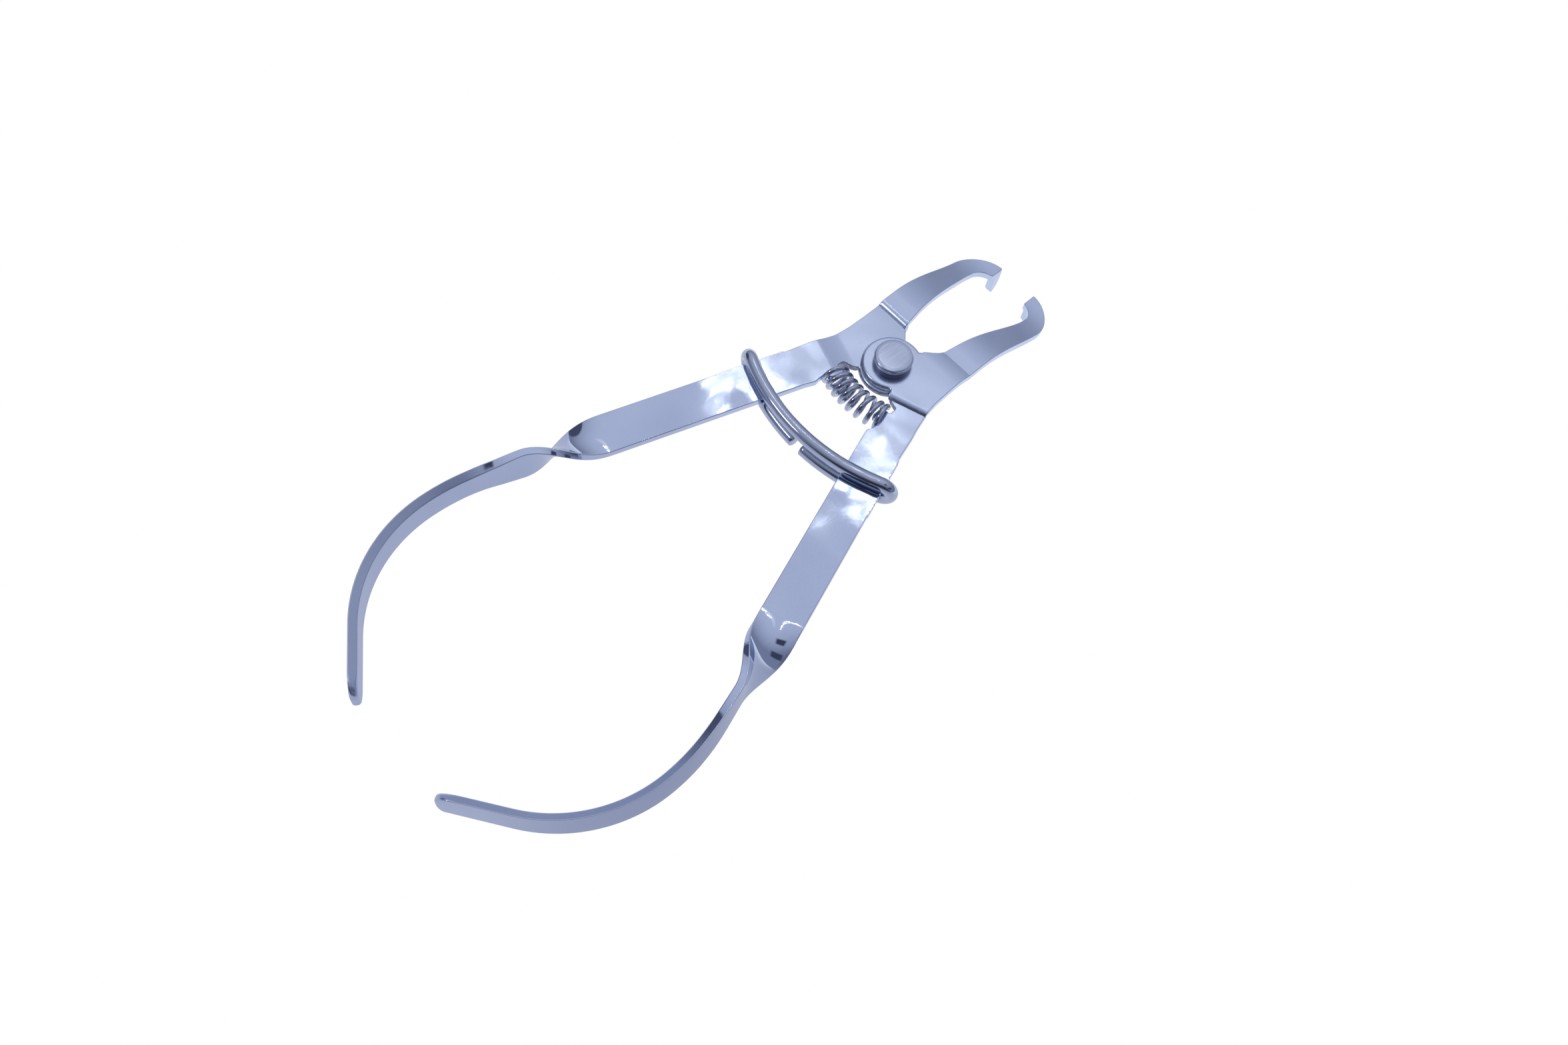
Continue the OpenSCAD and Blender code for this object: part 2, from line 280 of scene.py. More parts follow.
def arm_outline(ear_r, seat_y):
    """Closed outline of one unbent arm, drawn as the left one, counter-clockwise, in mm."""
    corners = []

    def add(points, r=0.0):
        for p in points:
            corners.append((np.array(p, float), r))

    # inner edge of the jaw, from its end face back to the crotch
    add([(JAW_REACH - 0.1, PRONG_Y)], 0.35)
    add([(JAW_REACH - 3.4, PRONG_Y)], 0.35)
    add(arc((JAW_REACH - 7.2, 4.7), 3.5, 12, 82, 12))
    add([(34, 8.25), (31, 7.95), (26, 7.35), (20, 6.55), (15, 5.85)], 25)
    add([(10.9, 5.2), (9.4, 4.75), (8.3, 3.9), (7.3, 2.9), (6.35, 1.9)], 3)
    # round lobe of the ear, on the far side of the rivet
    add(arc((0, 0), EAR_R, 14, -110, 32)[:-1])
    for i in range(29):
        t = rad(-110 - 109 * i / 28)
        add([np.array([math.cos(t), math.sin(t)]) * (EAR_R + (ear_r - EAR_R) * smooth(i, 0, 12))])
    # spring seat with its tongue, and the shoulder of the bar
    add([(-6.3, 5.5)], 1.0)
    add([(-6.75, 6.9)], 1.0)
    add([(-7.1, seat_y)], 0.5)
    tx = -SPRING_BACK + TONGUE_W / 2
    add([(tx, seat_y)], 0.25)
    add([(tx, seat_y - TONGUE_LEN)], 0.6)
    add([(tx - TONGUE_W, seat_y - TONGUE_LEN)], 0.6)
    add([(tx - TONGUE_W, seat_y)], 0.25)
    add([(-14.1, seat_y)], 1.0)
    add([(-15.2, min(seat_y, 7.9) - 0.15)], 1.0)
    # strip: inner edge, rounded end, outer edge
    add([from_bar(19, INNER_N)], 1.5)
    add([from_bar(STRIP_END, INNER_N)], CORNER_R)
    add([from_bar(STRIP_END, OUTER_N)], CORNER_R)
    # rounded teeth, from the far one back
    reach = math.degrees(math.asin(TOOTH_PITCH / 2 / TOOTH_R))
    for i in range(TOOTH_N - 1, -1, -1):
        tooth = (TOOTH_START + i * TOOTH_PITCH, OUTER_N + TOOTH_R)
        for p in arc(tooth, TOOTH_R, 270 + reach, 270 - reach, 8)[1:]:
            add([from_bar(p[0], p[1])])
    # outer edge of the shoulder and of the jaw
    add([from_bar(14.0, OUTER_N)], 12)
    add([(-6.9, 14.62), (-3.4, 13.62), (0.2, 13.16), (5, 13.0)], 9)
    add([(12, JAW_EDGE_Y), (24, JAW_EDGE_Y)])
    add(arc((JAW_REACH - HOOK_R, JAW_EDGE_Y - HOOK_R), HOOK_R, 90, 6, 26))
    pts = fillet([p for p, _ in corners], [r for _, r in corners])
    return pts[::-1] if area(pts) < 0 else pts


def area(pts):
    a = np.array(pts)
    b = np.roll(a, -1, axis=0)
    return float((a[:, 0] * b[:, 1] - b[:, 0] * a[:, 1]).sum() / 2)


def outline_normals(pts):
    """Outward normal of a counter-clockwise outline at each point."""
    a = np.array(pts)
    d0 = a - np.roll(a, 1, axis=0)
    d1 = np.roll(a, -1, axis=0) - a
    d0 /= np.linalg.norm(d0, axis=1)[:, None]
    d1 /= np.linalg.norm(d1, axis=1)[:, None]
    t = d0 + d1
    t /= np.linalg.norm(t, axis=1)[:, None]
    return np.stack([t[:, 1], -t[:, 0]], axis=1)


# ---------------------------------------------------------------- mesh helpers
def new_object(name, verts, faces, normals=None, body=None, material=None, flip=False):
    """A mesh object from mm points, with its own smooth normals where they are given."""
    me = bpy.data.meshes.new(name)
    faces = [tuple(f) for f in faces]
    if flip:
        faces = [tuple(reversed(f)) for f in faces]
    me.from_pydata([tuple(np.asarray(v, float) * MM) for v in verts], [], faces)
    me.update()
    me.shade_smooth()
    if normals is not None:
        me.normals_split_custom_set_from_vertices([tuple(n) for n in normals])
    ob = bpy.data.objects.new(name, me)
    bpy.context.scene.collection.objects.link(ob)
    if material is not None:
        me.materials.append(material)
    if body is not None:
        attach(ob, body)
    return ob


def build_strip(outline, thickness, edge_r, mapper, grid_step, ring_steps=5, tight_step=0.6,
                extra=()):
    """Plate with rounded edges over an outline: returns mapped points, faces and normals."""
    out = resample(outline, tight_step)
    keep = [out[0]]
    for p in out[1:]:
        if np.linalg.norm(p - keep[-1]) > 0.02:
            keep.append(p)
    out = keep
    n = len(out)
    base = np.array(out)
    nor = outline_normals(out)
    ht = thickness / 2
    radius = np.array([edge_r(p) if callable(edge_r) else edge_r for p in out])
    # (side of the plate, angle round its edge) from the top face round to the bottom face
    turns = [math.pi / 2 * k / ring_steps for k in range(ring_steps + 1)]
    prof = [(1, t) for t in turns] + [(-1, t) for t in reversed(turns)]
    flat, height, local = [], [], []
    for face, t in prof:
        for i in range(n):
            flat.append(base[i] - nor[i] * radius[i] * (1 - math.sin(t)))
            height.append(face * (ht - radius[i] * (1 - math.cos(t))))
            local.append((nor[i][0] * math.sin(t), nor[i][1] * math.sin(t), face * math.cos(t)))
    rings = len(prof)
    faces = []
    for r in range(rings - 1):
        for i in range(n):
            j = (i + 1) % n
            faces.append((r * n + i, (r + 1) * n + i, (r + 1) * n + j, r * n + j))
    # flat faces: inner boundary plus a grid of inner points
    bound = base - nor * radius[:, None]
    lo, hi = bound.min(0), bound.max(0)
    inner = []
    for p in list(grid_points(lo, hi, grid_step)) + list(extra):
        if inside(p, bound) and near(p, bound) > 0.3:
            inner.append(p)
    vs = [Vector(p) for p in bound] + [Vector(p) for p in inner]
    got = delaunay_2d_cdt(vs, [(i, (i + 1) % n) for i in range(n)], [], 1, 1e-7)
    coords, tris, sources = got[0], got[2], got[3]
    top = len(flat)
    for c in coords:
        flat.append(np.array(c))
        height.append(ht)
        local.append((0, 0, 1))
    bottom = len(flat)
    for c in coords:
        flat.append(np.array(c))
        height.append(-ht)
        local.append((0, 0, -1))
    link = {}
    for new, olds in enumerate(sources):
        for o in olds:
            if o < n:
                link[new] = o
    first, last = 0, (rings - 1) * n
    for t in tris:
        faces.append(tuple(link[i] + first if i in link else top + i for i in t))
        faces.append(tuple(link[i] + last if i in link else bottom + i for i in reversed(t)))
    return finish_strip(flat, height, local, faces, mapper)


def grid_points(lo, hi, s):
    """Points of a triangular grid with spacing s."""
    rows = np.arange(lo[0], hi[0], s * 0.87)
    for i, x in enumerate(rows):
        for y in np.arange(lo[1] + (s / 2 if i % 2 else 0), hi[1], s):
            yield np.array([x, y])


def inside(p, poly):
    x, y = p
    a, b = poly, np.roll(poly, -1, axis=0)
    cond = (a[:, 1] > y) != (b[:, 1] > y)
    with np.errstate(divide="ignore", invalid="ignore"):
        xi = (b[:, 0] - a[:, 0]) * (y - a[:, 1]) / (b[:, 1] - a[:, 1]) + a[:, 0]
    return bool((cond & (x < xi)).sum() % 2)


def near(p, poly):
    return float(np.sqrt(((poly - np.array(p)) ** 2).sum(1)).min())


def finish_strip(flat, height, local, faces, mapper):
    """Maps the flat plate into its bent shape, with normals from the map's own slopes."""
    used = sorted({i for f in faces for i in f})
    renum = {o: i for i, o in enumerate(used)}
    pts, nrm = [], []
    e = SLOPE_STEP
    for i in used:
        x, y = flat[i]
        w = height[i]
        l = np.array(local[i], float)
        l /= np.linalg.norm(l)
        p = mapper(x, y, w)
        ref = np.array([0, 0, 1.0]) if abs(l[2]) < 0.8 else np.array([1.0, 0, 0])
        t1 = np.cross(l, ref)
        t1 /= np.linalg.norm(t1)
        t2 = np.cross(l, t1)
        d1, d2 = (mapper(x + e * t[0], y + e * t[1], w + e * t[2])
                  - mapper(x - e * t[0], y - e * t[1], w - e * t[2]) for t in (t1, t2))
        m = np.cross(d1, d2)
        m /= np.linalg.norm(m)
        pts.append(p)
        nrm.append(m)
    return pts, [tuple(renum[i] for i in f) for f in faces], nrm


def tube(points, dirs_n, dirs_m, radii, sides):
    """Round tube with closed ends through points; dirs_n and dirs_m span each section."""
    verts, faces = [], []
    for p, nn, mm, r in zip(points, dirs_n, dirs_m, radii):
        for j in range(sides):
            b = 2 * math.pi * j / sides
            verts.append(p + r * (nn * math.cos(b) + mm * math.sin(b)))
    k = len(points)
    for i in range(k - 1):
        for j in range(sides):
            jj = (j + 1) % sides
            faces.append((i * sides + j, i * sides + jj, (i + 1) * sides + jj, (i + 1) * sides + j))
    faces.append(tuple(reversed(range(sides))))
    faces.append(tuple((k - 1) * sides + j for j in range(sides)))
    return verts, faces


def lathe(name, profile, material, body, sides=160):
    """Turned piece about +Z from (radius, height) points; both ends on the axis."""
    axis_r = 1e-6  # a profile point this close to the axis is on it
    verts, faces = [], []
    for r, z in profile:
        if r < axis_r:
            verts.append((0, 0, z))
        else:
            turn = [2 * math.pi * j / sides for j in range(sides)]
            verts += [(r * math.cos(a), r * math.sin(a), z) for a in turn]
    index, at = [], 0
    for r, z in profile:
        index.append(at)
        at += 1 if r < axis_r else sides
    for k in range(len(profile) - 1):
        a, b = index[k], index[k + 1]
        pa, pb = profile[k][0] < axis_r, profile[k + 1][0] < axis_r
        for j in range(sides):
            jj = (j + 1) % sides
            if pa:
                faces.append((a, b + jj, b + j))
            elif pb:
                faces.append((a + j, a + jj, b))
            else:
                faces.append((a + j, a + jj, b + jj, b + j))
    ob = new_object(name, verts, faces, body=body, material=material)
    mod = ob.modifiers.new("weights", "WEIGHTED_NORMAL")
    mod.keep_sharp = True
    mod.weight = 80
    return ob


def rounded(corners, steps=6):
    """Lathe profile whose corners (radius, height, round) are rounded by arcs."""
    pts = [np.array(c[:2], float) for c in corners]
    out = [tuple(pts[0])]
    for i in range(1, len(pts) - 1):
        r = corners[i][2]
        if r <= 0:
            out.append(tuple(pts[i]))
            continue
        da, db = pts[i - 1] - pts[i], pts[i + 1] - pts[i]
        la, lb = np.linalg.norm(da), np.linalg.norm(db)
        da, db = da / la, db / lb
        ang = math.acos(float(np.clip(da @ db, -1, 1)))
        t = min(r / math.tan(ang / 2), 0.49 * la, 0.49 * lb)
        rr = t * math.tan(ang / 2)
        mid = (da + db) / np.linalg.norm(da + db)
        c = pts[i] + mid * (rr / math.sin(ang / 2))
        s0, s1 = pts[i] + da * t - c, pts[i] + db * t - c
        a0, a1 = math.atan2(s0[1], s0[0]), math.atan2(s1[1], s1[0])
        d = (a1 - a0 + math.pi) % (2 * math.pi) - math.pi
        out += [(c[0] + rr * math.cos(a0 + d * k / steps), c[1] + rr * math.sin(a0 + d * k / steps))
                for k in range(steps + 1)]
    out.append(tuple(pts[-1]))
    return out


# ---------------------------------------------------------------- materials
def nodes_of(name):
    m = bpy.data.materials.new(name)
    m.use_nodes = True
    nt = m.node_tree
    b = nt.nodes["Principled BSDF"]
    b.inputs["Metallic"].default_value = 1.0
    return m, nt, b


def link(nt, a, b):
    nt.links.new(a, b)


def noise(nt, coords, scale, detail=3.0, rough=0.5, dist=0.0):
    n = nt.nodes.new("ShaderNodeTexNoise")
    n.inputs["Scale"].default_value = scale
    n.inputs["Detail"].default_value = detail
    n.inputs["Roughness"].default_value = rough
    n.inputs["Distortion"].default_value = dist
    if coords is not None:
        link(nt, coords, n.inputs["Vector"])
    return n.outputs["Fac"]


def remap(nt, value, lo, hi, to_lo, to_hi):
    n = nt.nodes.new("ShaderNodeMapRange")
    n.inputs["From Min"].default_value = lo
    n.inputs["From Max"].default_value = hi
    n.inputs["To Min"].default_value = to_lo
    n.inputs["To Max"].default_value = to_hi
    link(nt, value, n.inputs["Value"])
    return n.outputs["Result"]


def math_node(nt, op, a, b):
    n = nt.nodes.new("ShaderNodeMath")
    n.operation = op
    for i, v in enumerate((a, b)):
        if isinstance(v, (int, float)):
            n.inputs[i].default_value = v
        else:
            link(nt, v, n.inputs[i])
    return n.outputs[0]


def mix_color(nt, fac, a, b):
    n = nt.nodes.new("ShaderNodeMix")
    n.data_type = "RGBA"
    link(nt, fac, n.inputs[0])
    for i, v in ((6, a), (7, b)):
        if isinstance(v, tuple):
            n.inputs[i].default_value = (*v, 1.0)
        else:
            link(nt, v, n.inputs[i])
    return n.outputs[2]


def object_coords(nt, scale=(1, 1, 1), rot=(0, 0, 0)):
    tc = nt.nodes.new("ShaderNodeTexCoord")
    mp = nt.nodes.new("ShaderNodeMapping")
    mp.inputs["Scale"].default_value = scale
    mp.inputs["Rotation"].default_value = rot
    link(nt, tc.outputs["Object"], mp.inputs["Vector"])
    return mp.outputs["Vector"], tc.outputs["Object"]


def bump(nt, height, strength, distance, normal_in, under=None):
    n = nt.nodes.new("ShaderNodeBump")
    n.inputs["Strength"].default_value = strength
    n.inputs["Distance"].default_value = distance
    link(nt, height, n.inputs["Height"])
    if under is not None:
        link(nt, under.outputs["Normal"], n.inputs["Normal"])
    if normal_in is not None:
        link(nt, n.outputs["Normal"], normal_in)
    return n


def steel(name, light, dark, rough_lo, rough_hi, brush=(1, 1, 1), rot=(0, 0, 0), bump_mm=0.004,
          frost=False, wave_mm=0.0):
    """Tinted steel: cloudy tone, fine grain in the brushing direction and a bumped micro texture."""
    m, nt, b = nodes_of(name)
    stretched, plain = object_coords(nt, brush, rot)
    cloud = noise(nt, plain, 55, 2.0, 0.5)
    grain = noise(nt, stretched, 2600, 3.0, 0.6)
    tone = remap(nt, math_node(nt, "ADD", math_node(nt, "MULTIPLY", cloud, 0.75),
                               math_node(nt, "MULTIPLY", grain, 0.25)), 0.35, 0.65, 0.0, 1.0)
    color = mix_color(nt, tone, dark, light)
    rough = remap(nt, math_node(nt, "ADD", math_node(nt, "MULTIPLY", cloud, 0.6),
                                math_node(nt, "MULTIPLY", grain, 0.4)), 0.35, 0.65, rough_lo, rough_hi)
    height = grain
    if frost:
        # zones along the arm: satin jaws, bead-blasted bars under the lock ring, polished twist, satin grips
        sep = nt.nodes.new("ShaderNodeSeparateXYZ")
        link(nt, plain, sep.inputs[0])
        edge = noise(nt, plain, 420, 3.0, 0.6)
        x = math_node(nt, "ADD", sep.outputs["X"], remap(nt, edge, 0.3, 0.7, -0.0012, 0.0012))
        band = math_node(nt, "MULTIPLY", remap(nt, x, -0.037, -0.033, 0.0, 1.0),
                         remap(nt, x, -0.0155, -0.0125, 1.0, 0.0))
        grip = remap(nt, x, -0.090, -0.078, 1.0, 0.0)
        front = remap(nt, x, -0.012, -0.008, 0.0, 1.0)
        rough = math_node(nt, "ADD", rough, math_node(nt, "MULTIPLY", grip, 0.20))
        rough = math_node(nt, "ADD", rough, math_node(nt, "MULTIPLY", front, 0.17))
        speck = remap(nt, noise(nt, plain, 5200, 1.0, 0.6), 0.42, 0.62, 0.0, 1.0)
        height = math_node(nt, "ADD", math_node(nt, "MULTIPLY", grain, 0.12),
                           math_node(nt, "MULTIPLY", math_node(nt, "MULTIPLY", speck, band), 0.75))
        # sheared, rough walls round the ears, beside the spring; their colour there is darkened with painted
        # shade
        geo = nt.nodes.new("ShaderNodeNewGeometry")
        face = nt.nodes.new("ShaderNodeSeparateXYZ")
        link(nt, geo.outputs["Normal"], face.inputs[0])
        wall = remap(nt, math_node(nt, "ABSOLUTE", face.outputs["Z"], 0.0), 0.35, 0.7, 1.0, 0.0)
        near_spring = math_node(nt, "MULTIPLY", remap(nt, sep.outputs["X"], -0.0095, -0.0085, 0.0, 1.0),
                                remap(nt, sep.outputs["X"], -0.0035, -0.0025, 1.0, 0.0))
        beside = math_node(nt, "LESS_THAN", math_node(nt, "ABSOLUTE", sep.outputs["Y"], 0.0), 0.009)
        rough_walls_and_shade = math_node(nt, "MULTIPLY", math_node(nt, "MULTIPLY", wall, near_spring), beside)
        patchy = remap(nt, noise(nt, plain, 900, 3.0, 0.6), 0.3, 0.6, 0.5, 1.0)
        rough_walls_and_shade = math_node(nt, "MULTIPLY", rough_walls_and_shade, patchy)
        # painted shade: the walls beside the spring are mixed towards dark grey-blue, while their roughness
        # and bumps are the finish
        color = mix_color(nt, rough_walls_and_shade, color, (0.20, 0.215, 0.275))
        rough = math_node(nt, "ADD", rough, math_node(nt, "MULTIPLY", rough_walls_and_shade, 0.25))
        height = math_node(nt, "ADD", height, math_node(nt, "MULTIPLY", rough_walls_and_shade,
                           math_node(nt, "MULTIPLY", noise(nt, plain, 1500, 3.0, 0.7), 14.0)))
    link(nt, color, b.inputs["Base Color"])
    link(nt, rough, b.inputs["Roughness"])
    waves = bump(nt, noise(nt, plain, 75, 1.0, 0.4), 1.0, wave_mm * MM, None) if wave_mm else None
    bump(nt, height, 0.35, bump_mm * MM, b.inputs["Normal"], waves)
    return m


ARM = steel("arm_steel", (0.60, 0.675, 0.845), (0.55, 0.62, 0.79), 0.045, 0.075,
            brush=(0.35, 1, 1), rot=(0, 0, rad(20)), bump_mm=0.0020, frost=True, wave_mm=0.34)
RIVET = steel("rivet_steel", (0.64, 0.70, 0.85), (0.46, 0.51, 0.66), 0.12, 0.30, brush=(0.05, 1, 1),
              rot=(0, 0, rad(-35)), bump_mm=0.012)
# near-black washer steel: painted shade under the rivet head, drawn as the washer's own colour
WASHER_PAINTED_SHADE = steel("washer_steel_painted_shade", (0.20, 0.21, 0.30), (0.11, 0.12, 0.18), 0.25, 0.40, bump_mm=0.003)
RING = steel("ring_steel", (0.52, 0.57, 0.70), (0.45, 0.50, 0.62), 0.06, 0.12,
             brush=(1, 0.15, 1), bump_mm=0.001, wave_mm=0.02)
WIRE = steel("spring_wire", (0.56, 0.60, 0.72), (0.44, 0.47, 0.58), 0.06, 0.12, bump_mm=0.001)


# ---------------------------------------------------------------- the two arms
def arm_edge(p):
    """Edge radius at an outline point: full on the ear's lobe and at the grip's end, fine elsewhere."""
    r = math.hypot(p[0], p[1])
    lobe = 0
    if p[0] < 7:
        lobe = smooth(r, EAR_R - 0.7, EAR_R - 0.03) * (1 - smooth(r, LOBE_LEFT + 0.03, LOBE_LEFT + 0.6))
    u, v = to_bar(p)
    tip = smooth(u, STRIP_END - 5.0, STRIP_END - 1.5)
    teeth = v < -BAR_OFFSET and TOOTH_START - 1 < u < TOOTH_START + TOOTH_N * TOOTH_PITCH
    return 0.12 if teeth else 0.22 + 0.5 * lobe + 0.42 * tip


def arm(name, side, mirror, body):
    """One whole arm: ear, jaw, bar, quarter twist and palm grip bent from a single strip."""
    ear_r = EAR_R if mirror else LOBE_LEFT
    outline = arm_outline(ear_r, SEAT_RIGHT if mirror else SEAT_LEFT)

    def mapper(x, y, w):
        p = place(x, y, w, side)
        return np.array([p[0], -p[1] if mirror else p[1], p[2] + LAP_Z])

    # finer points where the ears step up and down
    bands = [np.array([x, y]) for x in np.arange(6.8, 10.8, 0.3) for y in np.arange(0.5, 13, 0.5)]
    bands += [from_bar(u, v) for u in np.arange(6.8, 12.6, 0.3) for v in np.arange(-13, -2, 0.5)]
    pts, faces, nrm = build_strip(outline, STOCK_T, arm_edge, mapper, 0.95, extra=bands)
    if mirror:
        nrm = [-n for n in nrm]
    ob = new_object(name, pts, faces, nrm, body, ARM, flip=mirror)
    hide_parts(body)
    return ob


def prong(name, mirror, body):
    """Pointed tip bent down from the end of the jaw, seen side-on as a leaning, rounded blade."""
    top = LAP_Z - JAW_DROP + HALF_T
    right, left = JAW_REACH, JAW_REACH - PRONG_W
    tip = top - PRONG_LEN
    pts = [(left + 0.15, top - 0.3), (right - 0.2, top - 0.1), (right - 0.02, top - 1.6),
           (right - 0.2, tip + 3.3), (right - 0.75, tip + 1.35), (right - 1.5, tip + 0.05),
           (left + 0.45, tip + 0.35), (left + 0.4, tip + 1.05), (left + 0.05, tip + 1.25),
           (left + 0.2, tip + 3.0)]
    out = fillet([np.array(p, float) for p in pts], [0.2, 0.35, 3, 3, 1.4, 0.6, 0.3, 0.12, 0.2, 2])
    if area(out) < 0:
        out = out[::-1]
    # a little proud of the end of the jaw, so that the two faces do not lie in one plane
    y0 = PRONG_Y + HALF_T - PRONG_PROUD

    def mapper(x, y, w):
        across = y0 - w
        return np.array([x, -across if mirror else across, y])

    v, f, n = build_strip(out, STOCK_T, 0.2, mapper, 0.7, tight_step=0.35)
    if mirror:
        n = [-k for k in n]
    ob = new_object(name, v, f, n, body, ARM, flip=mirror)
    return ob


arm("left_arm_strip", -1, False, "left_arm")
arm("right_arm_strip", 1, True, "right_arm")
prong("left_prong", False, "left_arm")
prong("right_prong", True, "right_arm")


# ---------------------------------------------------------------- rivet and washer
HEAD_TOP = HEAD_Z + HEAD_H
head = [(0, 0, 0), (TAIL_R, 0, 0.3), (TAIL_R, TAIL_H, 0.12), (SHANK_R, TAIL_H, 0), (SHANK_R, HEAD_Z, 0),
        (HEAD_R - 0.25, HEAD_Z, 0.05), (HEAD_R, HEAD_Z + 0.2, 0.15), (HEAD_R, HEAD_TOP - 0.2, 0.8),
        (HEAD_R - 1.0, HEAD_TOP - 0.03, 1.2), (0, HEAD_TOP, 0)]
rivet = lathe("rivet", rounded(head, 8), RIVET, "rivet")
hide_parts("pivot_rivet")

WASHER_R = HEAD_R - 0.05
BORE_R = SHANK_R + RUN_GAP
washer_profile = [(BORE_R, WASHER_Z, 0), (WASHER_R, WASHER_Z, 0.12),
                  (WASHER_R, WASHER_Z + WASHER_H - 0.12, 0.1), (WASHER_R - 0.16, WASHER_Z + WASHER_H, 0.06),
                  (BORE_R, WASHER_Z + WASHER_H, 0), (BORE_R, WASHER_Z, 0)]
washer = lathe("washer", rounded(washer_profile, 6), WASHER_PAINTED_SHADE, "rivet")
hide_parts("rivet_washer")


# ---------------------------------------------------------------- return spring
def spring():
    """Closed-end spring on a gently bent axis, from the left arm's seat to the right arm's."""
    per_turn, sides = 44, 16
    n = TURNS * per_turn
    mean_r = (SPRING_OD - WIRE_D) / 2
    end_gap = 0.04
    lo, hi = -SEAT_RIGHT + WIRE_D / 2 + end_gap, SEAT_LEFT - WIRE_D / 2 - end_gap
    half, mid_y = (hi - lo) / 2, (hi + lo) / 2
    bend = rad(19)
    arc_r = half / math.sin(bend)
    centre_x = -SPRING_BACK + 0.15 + arc_r * math.cos(bend)
    dead = 0.75  # turns at each end that lie against the seat
    end_share = dead * WIRE_D * 1.06 / (2 * arc_r * bend)

    def share(s):
        if s < dead:
            return s / dead * end_share
        if s > TURNS - dead:
            return 1 - (TURNS - s) / dead * end_share
        f = (s - dead) / (TURNS - 2 * dead)
        return end_share + (1 - 2 * end_share) * (f + 0.12 * f * (1 - f))

    def centre(s):
        g = bend * (2 * share(s) - 1)
        a = math.pi / 2 - 2 * math.pi * s
        r = arc_r - mean_r * math.sin(a)
        return np.array([centre_x - r * math.cos(g), mid_y + r * math.sin(g), LAP_Z + mean_r * math.cos(a)])

    def axis(s):
        g = bend * (2 * share(s) - 1)
        return np.array([centre_x - arc_r * math.cos(g), mid_y + arc_r * math.sin(g), LAP_Z])

    ds = 0.004
    pts, ns, ms, rs = [], [], [], []
    for i in range(n + 1):
        s = i / per_turn
        p = centre(s)
        d = centre(min(s + ds, TURNS)) - centre(max(s - ds, 0))
        d /= np.linalg.norm(d)
        nn = p - axis(s)
        nn -= d * (nn @ d)
        nn /= np.linalg.norm(nn)
        pts.append(p)
        ns.append(nn)
        ms.append(np.cross(d, nn))
        rs.append(WIRE_D / 2 if 0 < i < n else WIRE_D / 2 - 0.08)
    v, f = tube(pts, ns, ms, rs, sides)
    ob = new_object("spring_wire", v, f, None, None, WIRE)
    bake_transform(ob)
    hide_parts("return_spring")


spring()


# ---------------------------------------------------------------- lock ring
def lock_ring():
    """Rod along the bow under the bars, folded up round each bar and back over the top."""
    chamfer = 0.18
    cut = math.asin(RING_GAP / 2 / BOW_R)
    lo, hi = math.pi - rad(BOW_HALF), math.pi + rad(BOW_HALF)
    c = np.array([BOW_R - RING_BACK, 0.0, LAP_Z])
    z = np.array([0, 0, 1.0])
    path = []

    def on_bow(a, up):
        return c + BOW_R * np.array([math.cos(a), math.sin(a), 0]) + up * ROD_LIFT * z

    def on_fold(a, b, up):
        t = up * np.array([-math.sin(a), math.cos(a), 0])
        return on_bow(a, 0) + ROD_LIFT * (t * math.sin(b) - up * z * math.cos(b))

    path += [on_bow(a, -1) for a in np.linspace(math.pi + cut, hi, 26)]
    path += [on_fold(hi, b, 1) for b in np.linspace(0, math.pi, 25)[1:-1]]
    path += [on_bow(a, 1) for a in np.linspace(hi, lo, 60)]
    path += [on_fold(lo, b, -1) for b in np.linspace(0, math.pi, 25)[1:-1]]
    path += [on_bow(a, -1) for a in np.linspace(lo, math.pi - cut, 26)]
    first, last = path[0] - path[1], path[-1] - path[-2]
    first, last = first / np.linalg.norm(first), last / np.linalg.norm(last)
    path = [path[0], path[0] - first * chamfer] + path[1:-1] + [path[-1] - last * chamfer, path[-1]]
    pts, ns, ms, rs = [], [], [], []
    for i, p in enumerate(path):
        d = path[min(i + 1, len(path) - 1)] - path[max(i - 1, 0)]
        d /= np.linalg.norm(d)
        out = p - c
        # the bow's outward direction never turns in the fold, so it spans every section
        a = math.atan2(out[1], out[0])
        if abs(math.pi - (a % (2 * math.pi))) > rad(BOW_HALF):
            a = hi if a < 0 else lo
        nn = np.array([math.cos(a), math.sin(a), 0])
        nn -= d * (nn @ d)
        nn /= np.linalg.norm(nn)
        pts.append(p)
        ns.append(nn)
        ms.append(np.cross(d, nn))
        rs.append(ROD_D / 2 - (chamfer if i in (0, len(path) - 1) else 0))
    v, f = tube(pts, ns, ms, rs, 40)
    ob = new_object("ring_rod", v, f, None, "ring", RING)
    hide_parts("lock_ring")


lock_ring()


